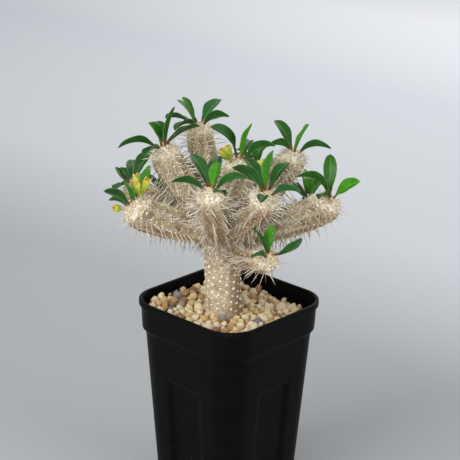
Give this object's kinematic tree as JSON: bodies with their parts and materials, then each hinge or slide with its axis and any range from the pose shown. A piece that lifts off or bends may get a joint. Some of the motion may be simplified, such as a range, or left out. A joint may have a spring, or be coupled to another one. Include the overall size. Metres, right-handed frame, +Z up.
{
  "type": "potted euphorbia",
  "caption": "Spiny branching succulent with leaf rosettes and small flowers, rooted in granular mix in a tall square nursery pot.",
  "frame": {"origin": "centre of the pot's flat base, where it stands on a surface", "axes": "+Z up through the pot to the crown; X and Y square to the pot's sides; the plant is turned about 43 degrees from +X towards +Y in its pot, so its front looks out over the corner at +X -Y"},
  "size_m": [0.1677, 0.1695, 0.2914],
  "materials": {
    "pot_plastic": "satin",
    "potting_granules": "matte",
    "stem_bark": "matte",
    "leaf": "satin",
    "flower": "satin"
  },
  "bodies": {
    "root": {"centre_top_flowers_left": "flower", "centre_top_flowers_right": "flower", "leaf_back_left_1": "leaf", "leaf_back_left_2": "leaf", "leaf_back_left_3": "leaf", "leaf_back_left_4": "leaf", "leaf_back_left_5": "leaf", "leaf_back_left_6": "leaf", "leaf_centre_top_1": "leaf", "leaf_centre_top_2": "leaf", "leaf_centre_top_3": "leaf", "leaf_centre_top_4": "leaf", "leaf_front_centre_1": "leaf", "leaf_front_centre_2": "leaf", "leaf_front_centre_3": "leaf", "leaf_front_centre_4": "leaf", "leaf_front_centre_5": "leaf", "leaf_front_centre_6": "leaf", "leaf_front_right_1": "leaf", "leaf_front_right_2": "leaf", "leaf_front_right_3": "leaf", "leaf_front_right_4": "leaf", "leaf_front_right_5": "leaf", "leaf_front_right_6": "leaf", "leaf_left_back_1": "leaf", "leaf_left_back_2": "leaf", "leaf_left_back_3": "leaf", "leaf_left_back_4": "leaf", "leaf_left_back_5": "leaf", "leaf_left_low_1": "leaf", "leaf_left_low_2": "leaf", "leaf_left_low_3": "leaf", "leaf_left_low_4": "leaf", "leaf_left_mid_1": "leaf", "leaf_left_mid_2": "leaf", "leaf_left_mid_3": "leaf", "leaf_left_mid_4": "leaf", "leaf_left_mid_5": "leaf", "leaf_left_mid_6": "leaf", "leaf_low_right_1": "leaf", "leaf_low_right_2": "leaf", "leaf_low_right_3": "leaf", "leaf_low_right_4": "leaf", "leaf_right_1": "leaf", "leaf_right_2": "leaf", "leaf_right_3": "leaf", "leaf_right_4": "leaf", "leaf_right_back_1": "leaf", "leaf_right_back_2": "leaf", "leaf_right_back_3": "leaf", "leaf_right_back_4": "leaf", "left_low_flower": "flower", "left_low_flower_pair": "flower", "pot": "pot_plastic", "potting_mix": "potting_granules", "rosette_rear_centre": "leaf", "rosette_rear_left": "leaf", "rosette_rear_low": "leaf", "rosette_rear_right": "leaf", "stem": "stem_bark"}
  },
  "joints": []
}
